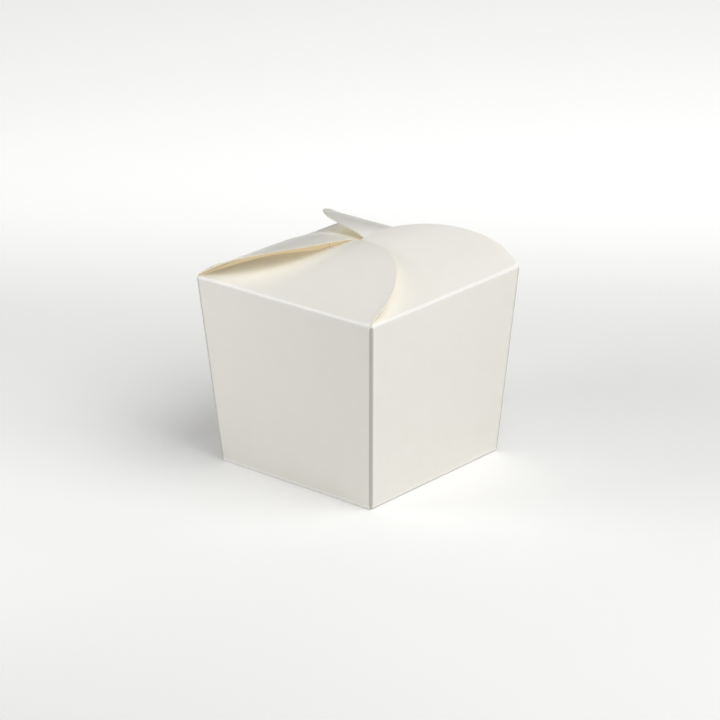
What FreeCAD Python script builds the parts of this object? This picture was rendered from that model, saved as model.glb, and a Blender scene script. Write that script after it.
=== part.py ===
"""Takeout food box: one cut, creased and glued sheet of white card, closed by four interlocked petals.

The frame stands on the middle of the base panel: +Z up, the front wall facing -Y, the right wall
facing +X. The four walls lean out to the rim. At the rim each wall turns through a crease into a
half-round petal. Seen from above, each petal lies over the next one anticlockwise: front over
right, right over back, back over left, and left over front. All lengths are in millimetres.
"""
import FreeCAD
import Part
import math
import os
import Sketcher
from FreeCAD import Placement, Rotation, Vector

# The driving dimensions. Angles are in degrees, and a share is a share of a petal's hinge,
# counted from the corner where the petal tucks under its neighbour.
SIZES = {
    "rim_width": 100.0,          # outside, at the rim
    "base_width": 86.7,          # outside, at the base
    "rim_height": 86.8,          # from the base to the crease line of the rim
    "card": 0.45,                # thickness of the sheet
    "fold_radius": 0.9,          # outside of the upright folds and the folds at the base
    "crease_length": 1.0,        # of card that turns at a rim crease
    "crease_lead": 0.3,          # straight card between a wall's top and its rim crease
    "tip_lap": 0.45,             # by which a petal's flat reach passes the middle of the rim
    "tuck_relief": 2.0,          # start of a petal's hinge, from the corner where it tucks under
    "tuck_stub": 0.9,            # length of the petal's side at that corner
    "tuck_fullness": 1.9,        # exponent of the outline's tucked half, where 2 is round
    "tuck_rise": 26.7,           # slope of the tucked half at its crease
    "tuck_curl": 44.7,           # angle by which the tucked half curls down over its reach
    "tuck_dip": 0.8,             # slope right at the tucked corner
    "tuck_dip_share": 0.10,      # over which that dip fades
    "twist_place": 0.395,        # share where the tucked half turns into the top half
    "twist_spread": 0.129,       # share that this change is spread over
    "front_rise": 32.9,          # slope of the petal's top half at its crease, on each wall
    "right_rise": 40.0,
    "back_rise": 35.6,
    "left_rise": 36.0,
    "front_curl": 27.4,          # angle by which that half curls down over its reach
    "right_curl": 40.0,
    "back_curl": 29.8,
    "left_curl": 34.4,
    "side_gap": 0.1,             # between a petal's cut side and the upright fold at its top corner
    "corner_bulge": 1.8,         # extra length of the crease at the petal's top corner
    "corner_bulge_share": 0.032,  # over which the bulge fades
    "seam_tab": 12.0,            # width of the glue tab inside the back left corner
    "seam_gap": 0.4,             # between the left wall's cut end and the fold that it meets
    "base_tab": 15.0,            # width of the three tabs glued on the base panel
    "base_tab_taper": 12.0,      # by which such a tab narrows at each of its ends
    "corner_notch": 1.1,         # side of the small square left open at each corner of the base
    "base_panel_inset": 0.9,     # of the base panel's cut edges, from the outside of the walls
}
PETALS = ("front", "right", "back", "left")
SECTIONS = 13                    # along a petal's hinge
FRONT_STRIP = 3.0                # height to which the base panel's own fold runs up the front wall

doc = FreeCAD.newDocument("takeout_food_box")
sheet = doc.addObject("Spreadsheet::Sheet", "Dimensions")


def write_cells(values, first_row):
    """Put named numbers in the sheet, one row each."""
    for row, (alias, value) in enumerate(values.items(), start=first_row):
        sheet.set("A%d" % row, alias)
        sheet.set("B%d" % row, repr(value))
        sheet.setAlias("B%d" % row, alias)
    doc.recompute()


def size(alias):
    """The value of one cell of the sheet."""
    return float(sheet.get(alias))


write_cells(SIZES, 1)

# What follows from the driving dimensions, kept in the sheet for the sketches.
slope = (size("rim_width") - size("base_width")) / 2 / size("rim_height")
lean = math.atan(slope)
wall_turn = math.pi / 2 + lean
mean_turn = wall_turn - math.radians(size("front_rise"))
setback = size("crease_length") / mean_turn * math.tan(mean_turn / 2)
wall_top = size("rim_height") - setback - size("crease_lead")
flap_reach = size("rim_width") / 2 + size("tip_lap")


def half_at(level):
    """Half the outside width of the box at a height."""
    return size("base_width") / 2 + slope * level


write_cells({
    "wall_top": wall_top,
    "level_card": size("card") / math.cos(lean),
    "low_half": half_at(size("card")),
    "tab_half": half_at(2 * size("card")),
    "top_half": half_at(wall_top),
    "strip_top": FRONT_STRIP,
    "strip_half": half_at(FRONT_STRIP),
}, len(SIZES) + 2)


def cell(text):
    """An expression over the sheet, from one with each alias written as @alias."""
    return text.replace("@", "Dimensions.")


def value_of(text):
    """The number that such an expression gives."""
    sheet.set("D1", "=" + text.replace("@", ""))
    sheet.recompute()
    return float(sheet.get("D1"))


def polygon(body, name, role, level, corners):
    """Sketch of a closed polygon on one of the body's origin planes, lifted by an expression.

    Its corners are pairs of expressions over the sheet, and each is pinned to the origin.
    """
    sketch = body.newObject("Sketcher::SketchObject", name)
    plane = [f for f in body.Origin.OriginFeatures if f.Role == role][0]
    sketch.AttachmentSupport = [(plane, "")]
    sketch.MapMode = "FlatFace"
    sketch.setExpression("AttachmentOffset.Base.z", cell(level))
    places = [Vector(value_of(x), value_of(y), 0) for x, y in corners]
    count = len(corners)
    for i in range(count):
        sketch.addGeometry(Part.LineSegment(places[i], places[(i + 1) % count]))
    for i in range(count):
        sketch.addConstraint(Sketcher.Constraint("Coincident", i, 2, (i + 1) % count, 1))
    for i, (across, along) in enumerate(corners):
        for kind, value, text in (("DistanceX", places[i].x, across), ("DistanceY", places[i].y, along)):
            index = sketch.addConstraint(Sketcher.Constraint(kind, -1, 1, i, 1, value))
            sketch.setExpression("Constraints[%d]" % index, cell(text))
    doc.recompute()
    return sketch


def fillet(body, name, base, picked, radius):
    """Round the edges of a feature that the test picks."""
    feature = body.newObject("PartDesign::Fillet", name)
    names = ["Edge%d" % (i + 1) for i, edge in enumerate(base.Shape.Edges) if picked(edge)]
    feature.Base = (base, names)
    feature.Radius = value_of(radius)
    feature.setExpression("Radius", cell(radius))
    doc.recompute()
    return feature


def is_upright(edge):
    """True for an edge that runs from the bottom to the top of the walls."""
    return edge.BoundBox.ZLength > size("rim_height") / 2


def is_outer_fold(edge):
    """True for an edge of the block that runs up its side or along its foot."""
    box = edge.BoundBox
    return is_upright(edge) or max(abs(box.ZMin - size("card")), abs(box.ZMax - size("card"))) < 1e-4


def is_inner_upright(edge):
    """True for an edge that runs up the hollow's side."""
    box = edge.BoundBox
    out = max(abs(box.XMin), abs(box.XMax), abs(box.YMin), abs(box.YMax))
    return is_upright(edge) and out < half_at(wall_top) - size("card") * 0.9


def make_wedge(body, kind, name, low_half, top_half, low_level):
    """A square block whose four sides lean out, from a low level to the walls' top."""
    block = body.newObject("PartDesign::" + kind, name)
    block.Placement = Placement(Vector(0, 0, 0), Rotation(Vector(1, 0, 0), 90))
    cells = {"Xmin": "-(" + low_half + ")", "Xmax": low_half,
             "Zmin": "-(" + low_half + ")", "Zmax": low_half,
             "X2min": "-(" + top_half + ")", "X2max": top_half,
             "Z2min": "-(" + top_half + ")", "Z2max": top_half,
             "Ymin": low_level, "Ymax": "@wall_top"}
    for key, text in cells.items():
        setattr(block, key, value_of(text))
    for key, text in cells.items():
        block.setExpression(key, cell(text))
    doc.recompute()
    return block


def make_walls():
    """The four leaning walls in one sleeve, with the seam tab and the three tabs at the base."""
    body = doc.addObject("PartDesign::Body", "Walls")
    block = make_wedge(body, "AdditiveWedge", "Block", "@low_half", "@top_half", "@card")
    fillet(body, "Folds", block, is_outer_fold, "@fold_radius")
    low_half = "@tab_half - @level_card"
    top_half = "@top_half - @level_card"
    hollow = make_wedge(body, "SubtractiveWedge", "Hollow", low_half, top_half, "2 * @card")
    fillet(body, "FoldsInside", hollow, is_inner_upright, "@fold_radius - @card")
    gap = body.newObject("PartDesign::Pocket", "BetweenTabs")
    gap.Profile = polygon(body, "BetweenTabsOutline", "XY_Plane", "2 * @card", between_tabs())
    gap.Length = value_of("@card")
    gap.setExpression("Length", cell("@card"))
    doc.recompute()
    straight_loft(body, "AdditiveLoft", "SeamTab", "2 * @card", "@tab_half", seam_tab)
    straight_loft(body, "SubtractiveLoft", "SeamGap", "0", "@base_width / 2", seam_gap)
    notch = body.newObject("PartDesign::Pocket", "CornerNotch")
    near = "@low_half - @corner_notch"
    far = "@low_half + @card"
    corner = [(near, near), (far, near), (far, far), (near, far)]
    notch.Profile = polygon(body, "CornerNotchOutline", "XY_Plane", "@card + @corner_notch", corner)
    notch.Length = value_of("@corner_notch")
    notch.setExpression("Length", cell("@corner_notch"))
    doc.recompute()
    corners = body.newObject("PartDesign::PolarPattern", "CornerNotches")
    corners.Originals = [notch]
    corners.Axis = ([f for f in body.Origin.OriginFeatures if f.Role == "Z_Axis"][0], [""])
    corners.Angle = 360
    corners.Occurrences = len(PETALS)
    body.Tip = corners
    doc.recompute()
    return body


def between_tabs():
    """Corners of the floor that the left, back and right tabs leave bare."""
    side = "(@tab_half - @base_tab)"
    end = "(@tab_half - @base_tab_taper)"
    front = "(@tab_half - @level_card)"
    return [(side, "-" + end), (front, "-" + front), ("-" + front, "-" + front), ("-" + side, "-" + end),
            ("-" + side, side), (side, side)]


def seam_tab(half):
    """Corners of the glue tab in section, sunk into both walls, from the box's half width."""
    return [("-%s + @level_card / 2" % half, "%s - @seam_tab" % half),
            ("-%s + 2 * @level_card" % half, "%s - @seam_tab" % half),
            ("-%s + 2 * @level_card" % half, "%s - @level_card * 0.8" % half),
            ("-%s + @level_card / 2" % half, "%s - @level_card * 0.8" % half)]


def seam_gap(half):
    """Corners of the gap beside the left wall's cut end, open to the outside."""
    return [("-%s - @card" % half, "%s - @fold_radius - @seam_gap" % half),
            ("-%s + @level_card" % half, "%s - @fold_radius - @seam_gap" % half),
            ("-%s + @level_card" % half, "%s + @card" % half),
            ("-%s - @card" % half, "%s + @card" % half)]


def straight_loft(body, kind, name, low_level, low_half, corners):
    """Straight loft from a section at a low level to the same section at the walls' top."""
    feature = body.newObject("PartDesign::" + kind, name)
    feature.Profile = polygon(body, name + "Low", "XY_Plane", low_level, corners(low_half))
    feature.Sections = [(polygon(body, name + "Top", "XY_Plane", "@wall_top", corners("@top_half")), "")]
    feature.Ruled = True
    doc.recompute()
    return feature


def make_base_panel():
    """The base panel, folded from the front wall's foot and lying under the three tabs."""
    body = doc.addObject("PartDesign::Body", "BasePanel")
    back = "@low_half - @base_panel_inset"
    outline = [("-@base_width / 2", "0"), (back, "0"), (back, "@card"),
               ("-@low_half + @level_card", "@card"), ("-@strip_half + @level_card", "@strip_top"),
               ("-@strip_half", "@strip_top")]
    panel = body.newObject("PartDesign::Pad", "Panel")
    panel.Profile = polygon(body, "PanelOutline", "YZ_Plane", "0", outline)
    panel.SideType = "Symmetric"
    width = "2 * (@low_half - @base_panel_inset)"
    panel.Length = value_of(width)
    panel.setExpression("Length", cell(width))
    doc.recompute()
    fold_out = fillet(body, "FrontFold", panel, is_along(-size("base_width") / 2, 0), "@fold_radius")
    inner_foot = size("card") / math.cos(lean) - half_at(size("card"))
    fillet(body, "FrontFoldInside", fold_out, is_along(inner_foot, size("card")), "@fold_radius - @card")
    return body


def is_along(y, z):
    """Test for an edge that runs along X at a place."""
    def picked(edge):
        box = edge.BoundBox
        off = max(abs(box.YMin - y), abs(box.ZMin - z))
        return box.XLength > size("base_width") / 2 and off < 1e-3
    return picked


def blend(place):
    """0 at the tucked corner and 1 at the top corner, turning over smoothly between them."""
    def step(x):
        return math.tanh((x - size("twist_place")) / size("twist_spread"))
    return (step(place) - step(0)) / (step(1) - step(0))


def petal_reach(place):
    """Length of the petal from its crease, at a place from 0 to 1 along its hinge.

    The outline is half of a round shape on the hinge. Its tucked half starts past the relief.
    """
    if place < 0.5:
        relief = size("tuck_relief") / size("rim_width")
        across = 1 - (place - relief) / (0.5 - relief)
        power = size("tuck_fullness")
        stub = size("tuck_stub")
    else:
        across = 2 * place - 1
        power = 2
        stub = 0
    return stub + (flap_reach - stub) * max(0, 1 - across ** power) ** (1 / power)


def arc_end(start, angle, rate, length):
    """Where an arc in the section's plane ends, and the slope angle that it ends with."""
    end = angle - rate * length
    step = Vector(0, math.sin(angle) - math.sin(end), math.cos(end) - math.cos(angle))
    return start + step / rate, end


def petal_section(name, place):
    """Closed section of the front petal at a place along its hinge: the card's two faces and ends.

    Half way through the card, an arc turns from the wall's lean to the petal's rise, and a flatter
    arc curls the petal down from there. The card's faces lie half a thickness off on either side,
    apart from the straight bead that the crease leaves inside.
    """
    top = blend(place)
    dip_depth = size("tuck_rise") - size("tuck_dip")
    dip = dip_depth * math.exp(-place / size("tuck_dip_share")) * (1 - top)
    rise = size("tuck_rise") + (size(name + "_rise") - size("tuck_rise")) * top - dip
    curl = size("tuck_curl") + (size(name + "_curl") - size("tuck_curl")) * top
    curl_rate = math.radians(curl) / flap_reach
    bulge = size("corner_bulge") * math.exp(-(1 - place) / size("corner_bulge_share"))
    crease = size("crease_length") + bulge
    crease_rate = (wall_turn - math.radians(rise)) / crease
    reach = petal_reach(place)
    crease_corner = Vector((place - 0.5) * size("rim_width"), -size("rim_width") / 2, size("rim_height"))
    inward = Vector(0, math.cos(lean), math.sin(lean)) * (size("card") / 2)
    upward = Vector(0, -math.sin(lean), math.cos(lean))
    start = crease_corner + inward - upward * setback
    crease_middle, middle_angle = arc_end(start, wall_turn, crease_rate, crease / 2)
    crease_end, end_angle = arc_end(start, wall_turn, crease_rate, crease)
    panel_middle, panel_angle = arc_end(crease_end, end_angle, curl_rate, reach / 2)
    tip, tip_angle = arc_end(crease_end, end_angle, curl_rate, reach)
    middle_line = ((start, wall_turn), (crease_middle, middle_angle), (crease_end, end_angle),
                   (panel_middle, panel_angle), (tip, tip_angle))

    def card_face(side):
        offset = side * size("card") / 2
        points = [p + Vector(0, -math.sin(a), math.cos(a)) * offset for p, a in middle_line]
        foot = points[0] - upward * ((points[0].z - wall_top) / math.cos(lean))
        return [foot] + points
    outer = card_face(1)
    inner = card_face(-1)
    edges = [Part.LineSegment(outer[0], outer[1]), Part.Arc(*outer[1:4]), Part.Arc(*outer[3:6]),
             Part.LineSegment(outer[5], inner[5]), Part.Arc(*inner[5:2:-1]),
             Part.LineSegment(inner[3], inner[1]), Part.LineSegment(inner[1], inner[0]),
             Part.LineSegment(inner[0], outer[0])]
    return Part.Wire([edge.toShape() for edge in edges])


def make_petal(name, quarter):
    """One petal with its rim crease, lofted through sections that crowd towards its corners."""
    first = size("tuck_relief") / size("rim_width")
    last = 0.5 + (half_at(wall_top) - size("fold_radius") - size("side_gap")) / size("rim_width")
    shares = [(1 - math.cos(math.pi * i / (SECTIONS - 1))) / 2 for i in range(SECTIONS)]
    wires = [petal_section(name, first + (last - first) * share) for share in shares]
    petal = doc.addObject("Part::Feature", name.capitalize() + "Petal")
    petal.Shape = Part.makeLoft(wires, True, True)
    petal.Placement = Placement(Vector(0, 0, 0), Rotation(Vector(0, 0, 1), 90 * quarter))
    return petal


def check(objects):
    """Stop if a feature failed or a shape is empty or not valid."""
    for item in objects:
        if "Invalid" in item.State or "Error" in item.State:
            raise RuntimeError(item.Name + " failed")
        if hasattr(item, "Shape") and item.isDerivedFrom("Part::Feature"):
            if item.Shape.isNull() or not item.Shape.isValid():
                raise RuntimeError(item.Name + " has no valid shape")


def main():
    """Build the box and write its one sheet of card as a STEP file."""
    pieces = [make_walls(), make_base_panel()]
    pieces += [make_petal(name, quarter) for quarter, name in enumerate(PETALS)]
    carton = doc.addObject("Part::MultiFuse", "Carton")
    carton.Label = "carton"
    carton.Shapes = pieces
    carton.Refine = True
    doc.recompute()
    check(doc.Objects)
    os.makedirs("parts", exist_ok=True)
    carton.Shape.exportStep(os.path.join("parts", carton.Label + ".step"))


main()
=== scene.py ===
"""Looks of the takeout food box: one folded sheet of white coated board, on a pale studio floor.

Everything is in metres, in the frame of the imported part: the box stands on the middle of its base,
+Z up, its front wall facing -Y and its right wall facing +X.
"""
import math

import bmesh
import bpy
import numpy as np
from bpy.props import FloatProperty, FloatVectorProperty, PointerProperty
from mathutils import Matrix, Vector


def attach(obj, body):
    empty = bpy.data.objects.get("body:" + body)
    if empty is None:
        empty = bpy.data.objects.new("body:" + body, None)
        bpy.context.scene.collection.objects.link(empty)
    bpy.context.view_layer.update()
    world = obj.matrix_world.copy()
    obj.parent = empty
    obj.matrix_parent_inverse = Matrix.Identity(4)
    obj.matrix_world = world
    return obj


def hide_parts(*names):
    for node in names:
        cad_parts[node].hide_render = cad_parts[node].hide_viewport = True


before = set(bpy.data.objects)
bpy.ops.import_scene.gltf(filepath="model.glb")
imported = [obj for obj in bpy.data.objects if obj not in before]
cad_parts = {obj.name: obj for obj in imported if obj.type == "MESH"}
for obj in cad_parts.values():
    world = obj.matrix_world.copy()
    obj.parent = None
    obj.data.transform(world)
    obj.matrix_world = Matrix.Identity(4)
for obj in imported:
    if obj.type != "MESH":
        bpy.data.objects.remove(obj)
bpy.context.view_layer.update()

bl_info = {
    "name": "Takeout food box",
    "version": (1, 0, 0),
    "blender": (4, 5, 0),
    "location": "3D View > Sidebar > Food box",
    "description": "Folds a takeout food box out of white coated board and sets its studio",
    "category": "Add Mesh",
}

MM = 0.001
SIDES = ("front", "right", "back", "left")   # each is a quarter turn on from the last

HINGE_COLUMNS = 110      # of faces along a petal's hinge
STRIP_COLUMNS = 3        # along the crease between a petal and the corner where it tucks under
CORNER_COLUMNS = 6       # round an upright fold
CAP_ROWS = 5             # where it turns in over the walls' top
SEAM_COLUMNS = 6         # over the glue tab
WALL_ROWS = 26           # up a wall
CREASE_ROWS = 9          # round a rim crease
PETAL_ROWS = 38          # from the crease to the tip
FOOT_ROWS = 5            # round a fold at the base
TAB_ROWS = 6             # over a base tab or the base panel

STRIP_STEP = 0.03 * MM   # over which the strip beside a petal widens to the petal's side
FOLD_FADE = 0.35 * MM    # over which the painted highlight of a crease and the painted shade of an upright fold fade beside it
MERGE = 0.001 * MM       # closer than this, two grids share a vertex
SHARP_ANGLE = math.radians(40)   # past which an edge stays crisp
BOW_FULLNESS = 0.8       # exponent that fills out a wall's bow from the base to the rim
ROW_CROWDING = 1.5       # exponent that draws a petal's rows towards its crease

DENT_WAVES = ((0.9 * MM, 0.0), (1.7 * MM, 1.3), (3.1 * MM, 4.0), (6.7 * MM, 2.2))   # and phases
DENT_START = 0.6         # of the sum of those waves, below which there is no dent
DENT_FULL = 2.0          # above that, which makes a dent of full depth

INSIDE_GLOW = 0.145      # strength of the light that comes through the board
FLOOR_GLOW = 0.07        # strength of the light from below the floor
ROOM_LIGHT = 0.13        # strength of the light from all round
FLOOR_CLOUD = 0.99       # brightness of the floor's faint clouds, as a share of the rest


# ---------------------------------------------------------------------------------------------
# Sizes and colours
# ---------------------------------------------------------------------------------------------

def linear(hex_colour):
    """Linear RGB of an sRGB hex colour such as "f4f1ea"."""
    shares = [int(hex_colour[i:i + 2], 16) / 255 for i in (0, 2, 4)]
    return [c / 12.92 if c <= 0.04045 else ((c + 0.055) / 1.055) ** 2.4 for c in shares]


def length(name, description, millimetres):
    """A length that the user can change."""
    return FloatProperty(name=name, description=description, default=millimetres * MM, min=0,
                         unit="LENGTH", precision=5)


def angle(name, description, degrees):
    """An angle that the user can change."""
    return FloatProperty(name=name, description=description, default=math.radians(degrees),
                         unit="ROTATION", precision=3)


def share(name, description, value):
    """A plain number that the user can change."""
    return FloatProperty(name=name, description=description, default=value, min=0, precision=3)


def colour(name, description, hex_colour):
    """A colour that the user can change."""
    return FloatVectorProperty(name=name, description=description, default=linear(hex_colour),
                               min=0, max=1, size=3, subtype="COLOR")


class BoxSizes(bpy.types.PropertyGroup):
    """Sizes of the folded sheet."""

    rim_width: length("Rim width", "Outside width at the rim", 100)
    base_width: length("Base width", "Outside width at the base", 86.7)
    rim_height: length("Rim height", "From the base to the crease line of the rim", 86.8)
    card: length("Board", "Thickness of the board", 0.45)
    fold_radius: length("Fold radius", "Outside of the upright folds and the base's folds", 0.9)
    wall_bow: length("Wall bow", "By which a wall's middle stands out", 0.25)
    crease_length: length("Crease length", "Board that turns at a rim crease", 1.0)
    crease_lead: length("Crease lead", "Straight board under a rim crease", 0.3)
    crease_dent: length("Crease dents", "Depth of the small dents in a rim crease", 0.035)
    corner_cap_slope: angle("Corner cap slope", "Slope where a fold ends between rim creases", 35)
    corner_bulge: length("Corner bulge", "Extra crease at a petal's top corner", 1.8)
    corner_bulge_share: share("Corner bulge share", "Share of the hinge that it fades over", 0.032)
    tip_lap: length("Tip lap", "By which a petal passes the middle", 0.45)
    tuck_relief: length("Tuck relief", "Start of the petal, from its tucked corner", 2.0)
    tuck_stub: length("Tuck stub", "Length of the petal's side there", 0.9)
    tuck_strip: length("Tuck strip", "Board past the crease between that side and the corner", 0.2)
    tuck_fullness: share("Tuck fullness", "Exponent of the outline's tucked half", 1.9)
    side_gap: length("Side gap", "Between a petal's cut side and the upright fold", 0.1)
    tuck_rise: angle("Tuck rise", "Slope of the tucked half at its crease", 26.7)
    tuck_curl: angle("Tuck curl", "Angle by which the tucked half curls down", 44.7)
    tuck_dip: angle("Tuck dip", "Slope right at the tucked corner", 0.8)
    tuck_dip_share: share("Tuck dip share", "Share of the hinge that the dip fades over", 0.10)
    twist_place: share("Twist place", "Share of the hinge where the petal turns over", 0.395)
    twist_spread: share("Twist spread", "Share of the hinge that this takes", 0.129)
    front_rise: angle("Front rise", "Slope of the front petal's top half", 32.9)
    right_rise: angle("Right rise", "Slope of the right petal's top half", 40.0)
    back_rise: angle("Back rise", "Slope of the back petal's top half", 35.6)
    left_rise: angle("Left rise", "Slope of the left petal's top half", 36.0)
    front_curl: angle("Front curl", "Angle by which that half curls down", 27.4)
    right_curl: angle("Right curl", "Angle by which that half curls down", 40.0)
    back_curl: angle("Back curl", "Angle by which that half curls down", 29.8)
    left_curl: angle("Left curl", "Angle by which that half curls down", 34.4)
    seam_tab: length("Seam tab", "Width of the glue tab inside the back left corner", 12)
    seam_gap: length("Seam gap", "Beside the left wall's cut end", 0.4)
    base_tab: length("Base tab", "Width of the tabs glued on the base panel", 15)
    base_tab_taper: length("Base tab taper", "By which a tab narrows at its front end", 12)
    base_panel_inset: length("Base panel inset", "Of the base panel's cut edges", 0.9)


class BoxColours(bpy.types.PropertyGroup):
    """Colours of the board and the studio."""

    outside: colour("Outside", "Coated face of the board", "f4f2ea")
    outside_cloud: colour("Cloud", "The coated face where the board is a little denser", "f1eee5")
    inside: colour("Inside", "Plain face of the board", "f1eada")
    glow: colour("Glow", "Daylight that comes through the board to its inside", "fff7e3")
    cut_edge: colour("Cut edge", "Fibres at a cut edge", "f4ead4")
    # Painted highlight: the band that light makes along a crease, painted in as a whiter colour.
    crease: colour("Crease", "Painted highlight on a rim crease", "fefdf9")
    # Painted shade: the shade an upright fold stands in, painted in as a grey colour.
    upright_fold_shade: colour("Fold shade", "Painted shade on an upright fold", "c6c2ba")
    floor: colour("Floor", "Studio floor", "f7f7f6")


# ---------------------------------------------------------------------------------------------
# The shape of the sheet
# ---------------------------------------------------------------------------------------------

def crowded(count):
    """Shares from 0 to 1 that crowd towards both ends, as a half circle's points do."""
    return (1 - np.cos(np.linspace(0, math.pi, count + 1))) / 2


def faded(distance):
    """1 on a fold and 0 away from it, by the distance from the fold along the sheet."""
    return np.exp(-(np.maximum(distance, 0) / FOLD_FADE) ** 2)


def turned(points, quarter):
    """Points turned by quarter turns about the Z axis."""
    x, y, z = points[..., 0], points[..., 1], points[..., 2]
    for _ in range(quarter % 4):
        x, y = -y, x
    return np.stack([x, y, z], -1)


def spread(*arrays):
    """Arrays of x, y and z brought to one shape, as an array of points."""
    return np.stack(np.broadcast_arrays(*arrays), -1)


class FoldedSheet:
    """Middle surface of the sheet, worked out from its sizes as grids of points.

    Each side is worked out as if it were the front wall, with x along the wall, -y outwards and z
    up, and is then turned into place. A grid's columns run anticlockwise seen from above and its
    rows run from the base towards a petal's tip, so every face looks outwards.
    """

    def __init__(self, sizes):
        s = self.sizes = sizes
        self.slope = (s.rim_width - s.base_width) / 2 / s.rim_height
        self.lean = math.atan(self.slope)
        self.wall_turn = math.pi / 2 + self.lean
        mean_turn = self.wall_turn - s.front_rise
        self.setback = s.crease_length / mean_turn * math.tan(mean_turn / 2)
        self.wall_top = s.rim_height - self.setback - s.crease_lead
        self.petal_length = s.rim_width / 2 + s.tip_lap
        self.level_card = s.card / math.cos(self.lean)
        self.corner = self.foot = s.fold_radius - s.card / 2
        self.panel_level = 0.5 * s.card      # the tabs lie on the base panel
        self.tab_level = 1.5 * s.card
        self.panel_foot = self.foot_level(self.panel_level)
        self.tab_foot = self.foot_level(self.tab_level)
        self.grids = []

    def foot_level(self, level):
        """Height where a wall leaves the fold that turns it into a sheet lying at a level."""
        return level + self.foot * (1 - math.sin(self.lean))

    def half(self, level):
        """Half the width of the box at a height, between the middles of its walls."""
        return self.sizes.base_width / 2 + self.slope * level - self.level_card / 2

    def flat_half(self, level):
        """Half the flat part of a wall at a height."""
        return self.half(level) - self.corner

    def add(self, points, fold, quarter=0):
        """Keep a grid of points with its folded look, turned into place.

        The look is 1 where a painted highlight lies on a crease, -1 where painted shade lies on an
        upright fold and 0 where the board is flat.
        """
        fold = np.broadcast_to(fold, points.shape[:2])
        self.grids.append((turned(points, quarter), fold))

    # -- the walls and their upright folds

    def hinge(self, side):
        """Places along a wall's top: where it starts, along its rim crease, and where it ends."""
        s = self.sizes
        flat = self.flat_half(self.wall_top)
        start = -flat + (s.seam_gap if side == "left" else 0)
        first = s.tuck_relief - s.rim_width / 2
        last = flat - s.side_gap
        strip = np.linspace(start + s.side_gap, first - STRIP_STEP, STRIP_COLUMNS + 1)
        petal = first + (last - first) * crowded(HINGE_COLUMNS)
        return start, np.concatenate([strip, petal]), flat

    def wall_columns(self, side):
        """Places along a wall's top for all its columns."""
        start, hinge, end = self.hinge(side)
        return np.concatenate([[start], hinge, [end]])

    def wall_levels(self):
        """Heights of the walls' rows, as a column."""
        return (self.tab_foot + (self.wall_top - self.tab_foot) * crowded(WALL_ROWS))[:, None]

    def wall(self, side):
        """Wall: straight lines up from the base, bowed outwards by a product of two half waves.

        An exponent fills out the wave that runs up the wall.
        """
        s = self.sizes
        level = self.wall_levels()
        top_flat = self.flat_half(self.wall_top)
        column = self.wall_columns(side)[None, :]
        x = column * self.flat_half(level) / top_flat
        up = (level - self.tab_foot) / (self.wall_top - self.tab_foot)
        across = np.cos(math.pi / 2 * column / top_flat)
        bow = s.wall_bow * np.sin(math.pi * up) ** BOW_FULLNESS * across
        # painted highlight fading up from the fold at the base, painted shade fading in from the
        # upright folds
        fold = faded(level - self.tab_foot) - faded(top_flat - np.abs(column))
        self.add(spread(x, -self.half(level) - bow, level), fold, SIDES.index(side))

    def upright_fold(self, side):
        """Fold at a wall's end: a quarter circle about a line that leans with the walls.

        Over the walls' top it turns in between the rim creases, on an arc of its own.
        """
        s = self.sizes
        level = self.wall_levels()
        turn = np.linspace(0, math.pi / 2, CORNER_COLUMNS + 1)[None, :]
        capped = np.linspace(0, 1, CAP_ROWS + 1)[:, None]
        rate = (self.wall_turn - s.corner_cap_slope) / s.crease_length
        inward, height, _ = self.arc(0, self.wall_top + s.crease_lead, self.wall_turn, rate,
                                     s.crease_length * capped)
        inward = np.concatenate([np.zeros_like(level), inward])
        top_middle = np.full_like(capped, self.flat_half(self.wall_top))
        middle = np.concatenate([self.flat_half(level), top_middle])
        level = np.concatenate([level, height])
        wide = self.corner - (self.level_card if side == "back" else 0)
        x = middle + np.maximum(wide - inward, 0) * np.sin(turn)
        y = -middle - (self.corner - inward) * np.cos(turn)
        # painted shade down the upright fold, turning to painted highlight over the cap between the
        # rim creases
        fold = np.concatenate([np.full(WALL_ROWS + 1, -1.0), 2 * capped[:, 0] - 1])[:, None]
        self.add(spread(x, y, level), fold, SIDES.index(side))

    def corner_foot(self, side):
        """Where an upright fold meets the folds at the base: a quarter of a rounded dish."""
        turn = np.linspace(0, math.pi / 2, CORNER_COLUMNS + 1)[None, :]
        out, level = self.foot_arc(self.tab_level)
        radius = self.corner + out
        middle = self.flat_half(self.tab_foot)
        x = middle + radius * np.sin(turn)
        y = -middle - radius * np.cos(turn)
        # painted shade all over the corner's dish
        self.add(spread(x, y, level), -1.0, SIDES.index(side))

    def foot_arc(self, level):
        """Arc from a sheet lying at a level up to its wall, as columns: out of the wall, and height.

        The arc's middle lies one radius above the sheet and one radius inside the wall.
        """
        turn = np.linspace(math.pi / 2, self.lean, FOOT_ROWS + 1)[:, None]
        out = self.foot * (math.cos(self.lean) - np.cos(turn))
        return -out, level + self.foot * (1 - np.sin(turn))

    def seam_tab(self):
        """Glue tab: runs on from the back wall's end, inside the left wall."""
        level = self.wall_levels()
        along = np.linspace(0, self.sizes.seam_tab, SEAM_COLUMNS + 1)[None, :]
        self.add(spread(self.half(level) - self.level_card, along - self.flat_half(level), level),
                 0.0, SIDES.index("back"))

    # -- the petals

    def twist(self, place):
        """0 at the tucked corner and 1 at the top corner, by a hyperbolic tangent between them."""
        s = self.sizes

        def step(where):
            return np.tanh((where - s.twist_place) / s.twist_spread)
        return (step(place) - step(0)) / (step(1) - step(0))

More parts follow.
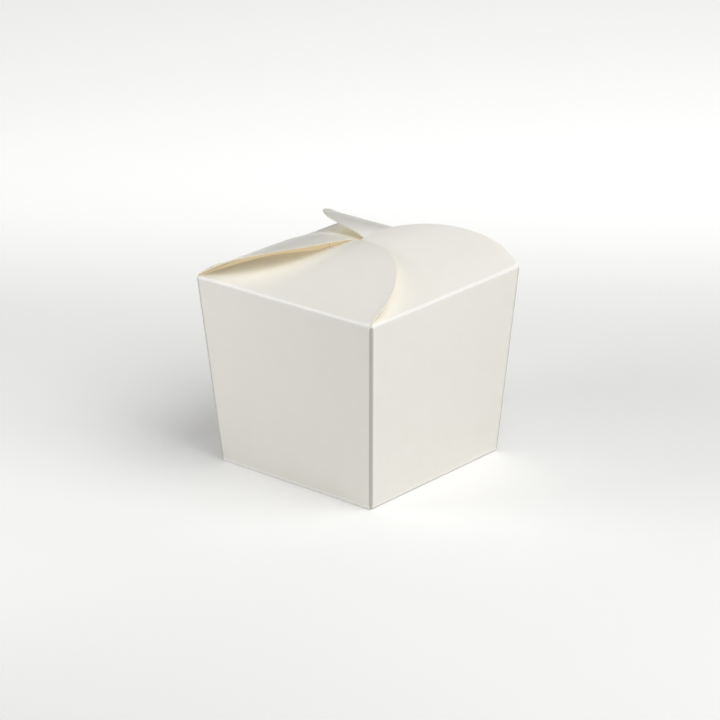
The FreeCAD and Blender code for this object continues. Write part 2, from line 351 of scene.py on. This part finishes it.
    def reach(self, place):
        """Length of the petal from its crease: half a circle, whose tucked half is a bit slimmer.

        Between the petal's tucked side and the corner only a narrow strip is left past the crease.
        """
        s = self.sizes
        relief = s.tuck_relief / s.rim_width
        tucked = place < 0.5
        tucked_share = np.maximum(place - relief, 0) / (0.5 - relief)
        across = np.where(tucked, 1 - tucked_share, 2 * place - 1)
        power = np.where(tucked, s.tuck_fullness, 2)
        stub = np.where(tucked, s.tuck_stub, 0)
        round_share = np.maximum(0, 1 - across ** power) ** (1 / power)
        petal = stub + (self.petal_length - stub) * round_share
        return np.where(place < relief - 0.5 * STRIP_STEP / s.rim_width, s.tuck_strip, petal)

    @staticmethod
    def arc(y, z, slope_angle, rate, run):
        """Where an arc that leaves a point at a slope and turns down at a rate has got to."""
        end = slope_angle - rate * run
        return (y + (np.sin(slope_angle) - np.sin(end)) / rate,
                z + (np.cos(end) - np.cos(slope_angle)) / rate, end)

    def petal(self, side):
        """Petal: each section is an arc for the crease and a flatter arc that curls down.

        The slope and the curl go from the tucked half's values to the top half's by the twist. The
        slope also dips at the tucked corner, and the crease is longer at the top corner. Dents press
        the crease in, most in the middle of its turn.
        """
        s = self.sizes
        column = self.hinge(side)[1][None, :]
        place = column / s.rim_width + 0.5
        top = self.twist(place)
        dip = (s.tuck_rise - s.tuck_dip) * np.exp(-place / s.tuck_dip_share) * (1 - top)
        rise = s.tuck_rise + (getattr(s, side + "_rise") - s.tuck_rise) * top - dip
        curl = s.tuck_curl + (getattr(s, side + "_curl") - s.tuck_curl) * top
        crease = s.crease_length + s.corner_bulge * np.exp(-(1 - place) / s.corner_bulge_share)
        crease_rate = (self.wall_turn - rise) / crease

        inward = s.card / 2
        y = -s.rim_width / 2 + inward * math.cos(self.lean) + self.setback * math.sin(self.lean)
        z = s.rim_height + inward * math.sin(self.lean) - self.setback * math.cos(self.lean)
        turning = np.linspace(0, 1, CREASE_ROWS + 1)[:, None]
        crease_y, crease_z, end = self.arc(y, z, self.wall_turn, crease_rate, crease * turning)
        dent = s.crease_dent * self.dents(column) * np.sin(math.pi * turning)
        crease_y = crease_y + dent * np.sin(end)
        crease_z = crease_z - dent * np.cos(end)

        run = self.reach(place) * np.linspace(0, 1, PETAL_ROWS + 1)[1:, None] ** ROW_CROWDING
        panel_y, panel_z, _ = self.arc(crease_y[-1:], crease_z[-1:], rise,
                                       curl / self.petal_length, run)
        lead_y = np.full_like(column, -self.half(self.wall_top))
        lead_z = np.full_like(column, self.wall_top)
        rows_y = np.concatenate([lead_y, crease_y, panel_y])
        rows_z = np.concatenate([lead_z, crease_z, panel_z])
        # painted highlight on the rim crease, fading onto the wall's lead and the petal
        fold = np.concatenate([faded(np.full_like(column, s.crease_lead)),
                               np.ones_like(crease_y), faded(run)])
        self.add(spread(column, rows_y, rows_z), fold, SIDES.index(side))

    @staticmethod
    def dents(x):
        """Uneven small dents along a crease: a sum of waves of unlike lengths, cut off below."""
        waves = sum(np.sin(x / size + phase) for size, phase in DENT_WAVES)
        return np.maximum(waves - DENT_START, 0) / DENT_FULL

    # -- the base

    def base_panel(self):
        """Base panel: the front wall runs straight down, folds and lies flat to the back."""
        s = self.sizes
        low_half = s.base_width / 2 + self.slope * s.card
        column = self.wall_columns("front")[None, :] / self.flat_half(self.wall_top)
        panel_half = low_half - s.base_panel_inset
        out, level = self.foot_arc(self.panel_level)
        arc_y = -self.half(self.panel_foot) - out
        run = np.linspace(panel_half, arc_y[0, 0], TAB_ROWS + 1)[:-1, None]
        rows_y = np.concatenate([run, arc_y, [[-self.half(self.tab_foot)]]])
        rows_z = np.concatenate([np.full_like(run, self.panel_level), level, [[self.tab_foot]]])
        half = np.concatenate([np.full_like(run, panel_half), self.flat_half(level),
                               [[self.flat_half(self.tab_foot)]]])
        # painted highlight on the fold at the base, fading onto the panel
        fold = np.concatenate([faded(run - arc_y[0, 0]), np.ones_like(level), [[1.0]]])
        self.add(spread(column * half, rows_y, rows_z), fold)

    def base_tab(self, side):
        """Base tab: folds in from a wall's foot, mitred at the back and tapered in front."""
        s = self.sizes
        tab_half = s.base_width / 2 + self.slope * 2 * s.card
        mitred = tab_half - s.base_tab - s.side_gap
        tapered = tab_half - s.base_tab_taper
        foot_half = self.flat_half(self.tab_foot)
        ends = (tapered if side == "right" else mitred, tapered if side == "left" else mitred)
        column = self.wall_columns(side)[None, :] / self.flat_half(self.wall_top)
        out, level = self.foot_arc(self.tab_level)
        arc_y = -self.half(self.tab_foot) - out
        inner_y = s.base_tab - tab_half
        inward = np.linspace(1, 0, TAB_ROWS + 1)[:-1, None]
        run = arc_y[0, 0] + (inner_y - arc_y[0, 0]) * inward
        half = np.where(column < 0, foot_half + (ends[0] - foot_half) * inward,
                        foot_half + (ends[1] - foot_half) * inward)
        x = np.concatenate([column * half, np.repeat(column * foot_half, FOOT_ROWS + 1, 0)])
        rows_y = np.concatenate([run, arc_y])
        rows_z = np.concatenate([np.full_like(run, self.tab_level), level])
        # painted highlight on the fold at the base, fading onto the tab
        fold = np.concatenate([faded(run - arc_y[0, 0]), np.ones_like(level)])
        self.add(spread(x, rows_y, rows_z), fold, SIDES.index(side))

    def fold_up(self):
        """All the grids of the sheet."""
        for side in SIDES:
            self.wall(side)
            self.upright_fold(side)
            self.petal(side)
            if side != "front":
                self.base_tab(side)
            if side != "back":
                self.corner_foot(side)
        self.seam_tab()
        self.base_panel()
        return self.grids


def grid_mesh(name, grids):
    """One mesh from grids of points, joined where they meet, with the painted highlight and shade of
    the folds an attribute.
    """
    points, fold, faces, count = [], [], [], 0
    for grid, grid_fold in grids:
        number = np.arange(grid.shape[0] * grid.shape[1]).reshape(grid.shape[:2]) + count
        corners = (number[:-1, :-1], number[:-1, 1:], number[1:, 1:], number[1:, :-1])
        faces.append(np.stack(corners, -1).reshape(-1, 4))
        points.append(grid.reshape(-1, 3))
        fold.append(grid_fold.reshape(-1))
        count += number.size
    mesh = bpy.data.meshes.new(name)
    mesh.from_pydata(np.concatenate(points).tolist(), [], np.concatenate(faces).tolist())
    shade = mesh.attributes.new("fold", "FLOAT", "POINT")
    shade.data.foreach_set("value", np.concatenate(fold).astype(np.float32))
    joined = bmesh.new()
    joined.from_mesh(mesh)
    bmesh.ops.remove_doubles(joined, verts=joined.verts, dist=MERGE)
    joined.to_mesh(mesh)
    joined.free()
    return mesh


def thickened(piece, thickness):
    """Give a sheet its thickness, its inside and its cut edges, and keep the cut edges crisp."""
    solid = piece.modifiers.new("Board", "SOLIDIFY")
    solid.thickness = thickness
    solid.offset = 0
    solid.use_even_offset = True
    solid.use_quality_normals = True
    solid.material_offset = 1
    solid.material_offset_rim = 2
    solved = piece.evaluated_get(bpy.context.evaluated_depsgraph_get())
    mesh = bpy.data.meshes.new_from_object(solved)
    piece.modifiers.clear()
    piece.data = mesh
    mesh.shade_smooth()
    mesh.set_sharp_from_angle(angle=SHARP_ANGLE)


# ---------------------------------------------------------------------------------------------
# Materials
# ---------------------------------------------------------------------------------------------

def add_node(tree, kind, settings=None, **links):
    """A node with its settings, and its inputs linked to sockets or set to values."""
    node = tree.nodes.new(kind)
    for key, value in (settings or {}).items():
        setattr(node, key, value)
    for key, value in links.items():
        socket = node.inputs[key.replace("_", " ")]
        if isinstance(value, bpy.types.NodeSocket):
            tree.links.new(value, socket)
        else:
            socket.default_value = value
    return node


def new_material(name):
    """An empty material and its node tree."""
    material = bpy.data.materials.new(name)
    material.use_nodes = True
    material.node_tree.nodes.clear()
    return material, material.node_tree


def finish_material(tree, **links):
    """The surface shader and the output."""
    surface = add_node(tree, "ShaderNodeBsdfPrincipled", **links)
    output = tree.nodes.new("ShaderNodeOutputMaterial")
    tree.links.new(surface.outputs["BSDF"], output.inputs["Surface"])


def mixed(tree, factor, first, second):
    """Colour between two colours."""
    mix = tree.nodes.new("ShaderNodeMix")
    mix.data_type = "RGBA"
    for number, value in ((0, factor), (6, first), (7, second)):
        socket = mix.inputs[number]
        if isinstance(value, bpy.types.NodeSocket):
            tree.links.new(value, socket)
        elif number == 0:
            socket.default_value = value
        else:
            socket.default_value = [*value, 1]
    return mix.outputs[2]


def clamped_product(tree, first, second):
    """Product of two values, kept from 0 to 1."""
    node = add_node(tree, "ShaderNodeMath", {"operation": "MULTIPLY", "use_clamp": True})
    for socket, value in zip(node.inputs, (first, second)):
        if isinstance(value, bpy.types.NodeSocket):
            tree.links.new(value, socket)
        else:
            socket.default_value = value
    return node.outputs[0]


def noise(tree, place, grain, **links):
    """Noise whose lumps are one grain across, in metres."""
    node = add_node(tree, "ShaderNodeTexNoise", Vector=place, Scale=1 / grain, **links)
    return node.outputs["Fac"]


def coated_board(colours):
    """Solid bleached board with a thin polymer coat, calendered smooth.

    The coat gives a soft satin look. The fibres under it leave faint clouds about 7 mm across and a
    very shallow orange peel. On a crease a painted highlight makes the coat whiter, broken by short
    gaps where it is only 0.6 as strong. On an upright fold, scored deeper, painted shade makes it
    greyer.
    """
    material, tree = new_material("coated_bleached_board")
    place = add_node(tree, "ShaderNodeTexCoord").outputs["Object"]
    fold = add_node(tree, "ShaderNodeAttribute", {"attribute_name": "fold"}).outputs["Fac"]
    cloud = noise(tree, place, 7 * MM, Detail=3, Roughness=0.55)
    flake = noise(tree, place, 0.8 * MM, Detail=2, Roughness=0.6)
    # painted highlight on the creases, mixed in only 0.6 as much where short gaps break it
    highlight_breaks = add_node(tree, "ShaderNodeMapRange", Value=flake,
                     From_Min=0.40, From_Max=0.60, To_Min=0.6)
    crease_highlight = clamped_product(tree, fold, highlight_breaks.outputs["Result"])
    base = mixed(tree, cloud, colours.outside, colours.outside_cloud)
    highlit_tone = mixed(tree, crease_highlight, base, colours.crease)
    # painted shade on the upright folds, where the fold attribute is below 0
    tone = mixed(tree, clamped_product(tree, fold, -1.0), highlit_tone, colours.upright_fold_shade)
    peel = noise(tree, place, 0.6 * MM, Detail=2, Roughness=0.5)
    bump = add_node(tree, "ShaderNodeBump", Height=peel, Strength=0.18, Distance=0.01 * MM)
    finish_material(tree, Base_Color=tone, Roughness=0.28, IOR=1.5, Normal=bump.outputs["Normal"])
    return material


def plain_board(colours):
    """The sheet's uncoated face: bare fibres, warmer and duller than the coat.

    The board lets a little daylight through, so its inside is never black. That light is given here
    as a faint warm glow.
    """
    material, tree = new_material("uncoated_board_face")
    place = add_node(tree, "ShaderNodeTexCoord").outputs["Object"]
    fibre = noise(tree, place, 0.7 * MM, Detail=4, Roughness=0.65)
    tone = mixed(tree, fibre, colours.inside, colours.cut_edge)
    bump = add_node(tree, "ShaderNodeBump", Height=fibre, Strength=0.3, Distance=0.015 * MM)
    finish_material(tree, Base_Color=tone, Roughness=0.85, IOR=1.45, Normal=bump.outputs["Normal"],
                    Emission_Color=[*colours.glow, 1], Emission_Strength=INSIDE_GLOW)
    return material


def cut_board(colours):
    """The sheet's die-cut edge: torn fibre ends, cream and matt."""
    material, tree = new_material("die_cut_board_edge")
    place = add_node(tree, "ShaderNodeTexCoord").outputs["Object"]
    fibre = noise(tree, place, 0.25 * MM, Detail=3, Roughness=0.7)
    tone = mixed(tree, fibre, colours.cut_edge, colours.outside_cloud)
    bump = add_node(tree, "ShaderNodeBump", Height=fibre, Strength=0.5, Distance=0.03 * MM)
    finish_material(tree, Base_Color=tone, Roughness=0.9, IOR=1.45, Normal=bump.outputs["Normal"])
    return material


def floor_acrylic(colours):
    """Translucent white acrylic of a light table: matt, even and faintly lit from below."""
    material, tree = new_material("light_table_acrylic")
    place = add_node(tree, "ShaderNodeTexCoord").outputs["Object"]
    cloud = noise(tree, place, 300 * MM, Detail=2)
    tone = mixed(tree, cloud, colours.floor, [c * FLOOR_CLOUD for c in colours.floor])
    finish_material(tree, Base_Color=tone, Roughness=1.0, Emission_Color=[1, 1, 1, 1],
                    Emission_Strength=FLOOR_GLOW)
    return material


# ---------------------------------------------------------------------------------------------
# The studio
# ---------------------------------------------------------------------------------------------

CAMERA_AZIMUTH = math.radians(40.82)     # from the front wall's outward direction towards the right
CAMERA_ELEVATION = math.radians(21.09)
CAMERA_ROLL = math.radians(-0.46)
CAMERA_DISTANCE = 1458.6 * MM
CAMERA_LENS = 165.95                     # in mm, on a sensor 36 mm wide
CAMERA_SHIFT = (0.26 * MM, 1.89 * MM)    # of the point it looks at, to the right and up
FLOOR_SIZE = 12.0                        # in metres, each way
FLOOR_DROP = 0.05 * MM                   # of the floor under the base panel
BACKDROP_PLACE = 0.72                    # behind the box, where the light on the floor falls


def direction(azimuth, elevation):
    """Direction from the box, azimuth counted from -Y towards +X."""
    level = math.cos(elevation)
    return Vector((math.sin(azimuth) * level, -math.cos(azimuth) * level, math.sin(elevation)))


def looking(back, roll=0.0):
    """Turn of a camera or light that looks against a direction."""
    right = Vector((0, 0, 1)).cross(back).normalized()
    up = back.cross(right)
    level_right = right * math.cos(roll) + up * math.sin(roll)
    level_up = up * math.cos(roll) - right * math.sin(roll)
    return Matrix((level_right, level_up, back)).transposed(), level_right, level_up


def put(data, name, place, turn):
    """An object for a light or camera, in place."""
    item = bpy.data.objects.new(name, data)
    item.matrix_world = Matrix.Translation(place) @ turn.to_4x4()
    bpy.context.scene.collection.objects.link(item)
    return item


def softbox(name, azimuth, elevation, distance, size, watts, aim=(0, 0, 45 * MM), beam=180):
    """Rectangular soft light that looks at a place, such as the middle of the box.

    The beam is the whole angle in degrees that it shines into.
    """
    light = bpy.data.lights.new(name, "AREA")
    light.shape = "RECTANGLE"
    light.size, light.size_y = size
    light.energy = watts
    light.spread = math.radians(beam)
    back = direction(math.radians(azimuth), math.radians(elevation))
    put(light, name, Vector(aim) + back * distance, looking(back)[0])


def add_camera():
    """Camera at the photograph's place."""
    lens = bpy.data.cameras.new("photo_camera")
    lens.sensor_fit = "HORIZONTAL"
    lens.sensor_width = 36
    lens.lens = CAMERA_LENS
    back = direction(CAMERA_AZIMUTH, CAMERA_ELEVATION)
    turn, right, up = looking(back, CAMERA_ROLL)
    middle = Vector((0, 0, bpy.context.scene.box_sizes.rim_height / 2))
    aim = middle + right * CAMERA_SHIFT[0] + up * CAMERA_SHIFT[1]
    bpy.context.scene.camera = put(lens, "photo_camera", aim + back * CAMERA_DISTANCE, turn)


def add_floor(colours):
    """Wide level floor just under the box."""
    half = FLOOR_SIZE / 2
    mesh = bpy.data.meshes.new("floor")
    corners = ((-half, -half), (half, -half), (half, half), (-half, half))
    mesh.from_pydata([(x, y, -FLOOR_DROP) for x, y in corners], [], [(0, 1, 2, 3)])
    mesh.materials.append(floor_acrylic(colours))
    floor = bpy.data.objects.new("floor", mesh)
    bpy.context.scene.collection.objects.link(floor)


def add_room_light(strength):
    """Even white light from all round."""
    world = bpy.data.worlds.new("studio")
    world.use_nodes = True
    background = world.node_tree.nodes["Background"]
    background.inputs["Color"].default_value = (1, 1, 1, 1)
    background.inputs["Strength"].default_value = strength
    bpy.context.scene.world = world


# ---------------------------------------------------------------------------------------------
# Operators and panel
# ---------------------------------------------------------------------------------------------

class FOODBOX_OT_fold_card(bpy.types.Operator):
    """Fold the sheet into the closed box and give it its board"""

    bl_idname = "foodbox.fold_card"
    bl_label = "Fold the box"

    def execute(self, context):
        sizes = context.scene.box_sizes
        colours = context.scene.box_colours
        sheet = grid_mesh("carton_card", FoldedSheet(sizes).fold_up())
        card = bpy.data.objects.new("carton_card", sheet)
        context.scene.collection.objects.link(card)
        for material in (coated_board(colours), plain_board(colours), cut_board(colours)):
            card.data.materials.append(material)
        thickened(card, sizes.card)
        if not card.data.polygons:
            raise RuntimeError("the sheet has no faces")
        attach(card, "root")
        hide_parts("carton")
        return {"FINISHED"}


class FOODBOX_OT_set_studio(bpy.types.Operator):
    """Set the floor, the lights and the camera"""

    bl_idname = "foodbox.set_studio"
    bl_label = "Set the studio"

    def execute(self, context):
        add_floor(context.scene.box_colours)
        add_camera()
        add_room_light(ROOM_LIGHT)
        softbox("right_softbox", azimuth=95, elevation=58, distance=0.7, size=(0.55, 0.55),
                watts=2.8)
        softbox("front_right_softbox", azimuth=70, elevation=50, distance=0.9, size=(0.7, 0.7),
                watts=1.9)
        softbox("left_softbox", azimuth=-38, elevation=27, distance=0.42, size=(0.2, 0.2),
                watts=0.52)
        softbox("rim_softbox", azimuth=139, elevation=21, distance=1.3, size=(0.35, 0.35),
                watts=1.0)
        softbox("back_softbox", azimuth=-155, elevation=38, distance=1.3, size=(0.45, 0.45),
                watts=0.27)
        behind = direction(CAMERA_AZIMUTH, 0) * -BACKDROP_PLACE
        softbox("backdrop_softbox", azimuth=41, elevation=89, distance=0.4, size=(2.4, 0.95),
                watts=4.2, aim=behind, beam=64)
        context.scene.view_settings.view_transform = "Standard"
        return {"FINISHED"}


class FOODBOX_PT_panel(bpy.types.Panel):
    """Buttons and sizes of the food box"""

    bl_idname = "FOODBOX_PT_panel"
    bl_label = "Food box"
    bl_space_type = "VIEW_3D"
    bl_region_type = "UI"
    bl_category = "Food box"

    def draw(self, context):
        self.layout.operator(FOODBOX_OT_fold_card.bl_idname)
        self.layout.operator(FOODBOX_OT_set_studio.bl_idname)
        for group in (context.scene.box_sizes, context.scene.box_colours):
            column = self.layout.column()
            for name in group.__annotations__:
                column.prop(group, name)


CLASSES = (BoxSizes, BoxColours, FOODBOX_OT_fold_card, FOODBOX_OT_set_studio, FOODBOX_PT_panel)


def register():
    """Make the classes known and hang the sizes and colours on the scene."""
    for item in CLASSES:
        bpy.utils.register_class(item)
    bpy.types.Scene.box_sizes = PointerProperty(type=BoxSizes)
    bpy.types.Scene.box_colours = PointerProperty(type=BoxColours)


def unregister():
    """Take back what register did."""
    del bpy.types.Scene.box_colours
    del bpy.types.Scene.box_sizes
    for item in reversed(CLASSES):
        bpy.utils.unregister_class(item)


def main():
    """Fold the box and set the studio."""
    register()
    bpy.ops.foodbox.fold_card()
    bpy.ops.foodbox.set_studio()
    bpy.context.view_layer.update()


if __name__ == "__main__":
    main()
